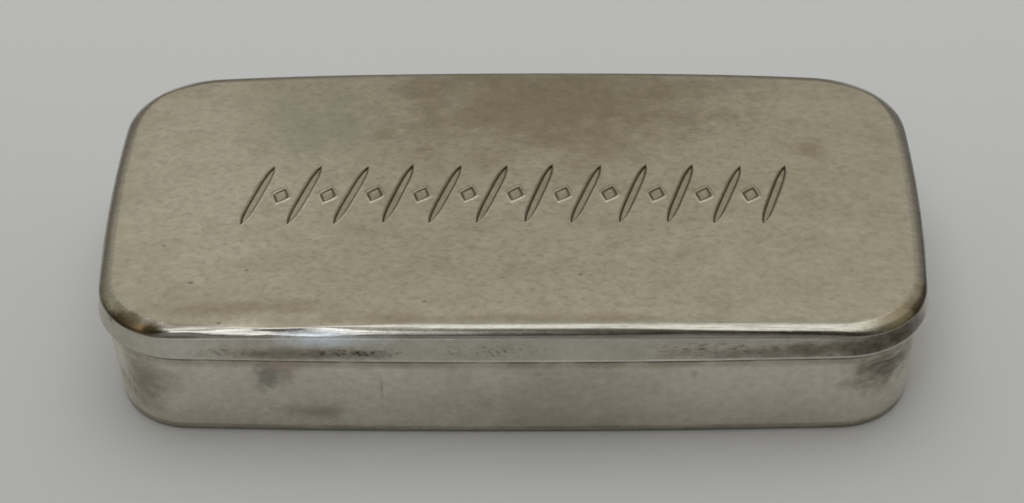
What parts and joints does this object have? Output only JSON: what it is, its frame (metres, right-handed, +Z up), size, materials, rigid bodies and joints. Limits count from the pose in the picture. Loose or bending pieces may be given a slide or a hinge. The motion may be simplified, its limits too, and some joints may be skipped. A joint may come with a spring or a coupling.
{
  "type": "toothpick holder",
  "caption": "Low oblong sheet-metal box with rounded corners and a slip-over lid that lifts off, for keeping toothpicks.",
  "frame": {"origin": "middle of the underside, on the surface that the box stands on", "axes": "+Z up, the way the lid lifts; +X along the box's long side; -Y towards the long side seen in the picture"},
  "size_m": [0.08, 0.0408, 0.0143],
  "materials": {
    "lid_plate": "silver-plated, hand-polished, tarnished",
    "lid_band": "silver-plated, hand-polished, tarnished",
    "base_band": "silver-plated, hand-polished, tarnished",
    "base_plate": "silver-plated, satin, scuffed underneath"
  },
  "bodies": {
    "base": {"base_wall": "base_band", "base_floor": "base_plate"},
    "lid": {"lid_top": "lid_plate", "lid_skirt": "lid_band"}
  },
  "joints": [
    {"name": "lid_lift", "type": "slide", "parent": "base", "child": "lid", "axis": [0, 0, 1], "range_m": [0, 0.03]}
  ]
}
